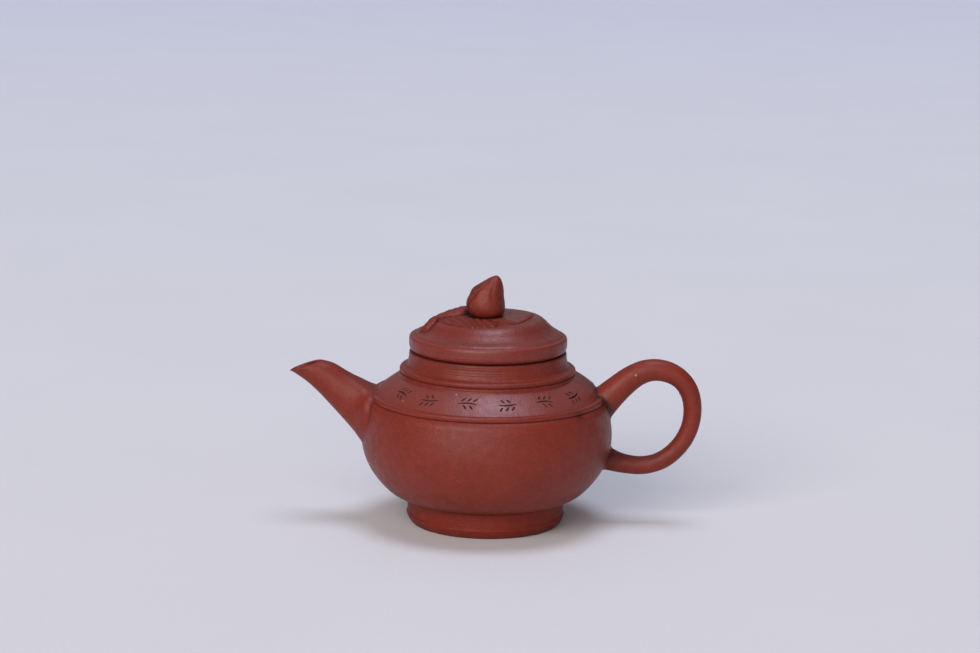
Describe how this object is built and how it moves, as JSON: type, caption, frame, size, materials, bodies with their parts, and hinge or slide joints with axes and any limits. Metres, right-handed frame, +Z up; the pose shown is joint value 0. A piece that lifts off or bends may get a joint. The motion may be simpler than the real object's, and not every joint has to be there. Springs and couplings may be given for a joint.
{
  "type": "clay teapot",
  "caption": "Small low-bellied red clay teapot with a straight spout, round ear handle, stepped neck and a lift-off lid with a peach knob and leaves in relief.",
  "frame": {"origin": "on the pot's axis, in the plane that the foot ring stands on", "axes": "+Z up along the pot's axis, +X towards the handle, -X towards the spout"},
  "size_m": [0.1126, 0.0686, 0.0684],
  "materials": {
    "red_clay": "unglazed red-brown stoneware, fine sandy grain, dull satin sheen"
  },
  "bodies": {
    "pot": {"foot_ring": "red_clay", "base_disc": "red_clay", "bowl": "red_clay", "strainer": "red_clay", "string_ring": "red_clay", "shoulder_plate": "red_clay", "neck_step": "red_clay", "neck_collar": "red_clay", "spout": "red_clay", "handle": "red_clay"},
    "lid_flange": {"lid_flange": "red_clay"},
    "lid": {"lid_plate": "red_clay", "peach_knob": "red_clay", "long_leaf": "red_clay", "front_leaf": "red_clay", "back_leaf": "red_clay", "twig": "red_clay"}
  },
  "joints": [
    {"name": "lid_lift", "type": "slide", "parent": "pot", "child": "lid_flange", "axis": [0, 0, 1], "range_m": [0, 0.035]},
    {"name": "lid_turn", "type": "hinge", "parent": "lid_flange", "child": "lid", "pos_m": [0, 0, 0.05035], "axis": [0, 0, 1], "continuous": true}
  ]
}
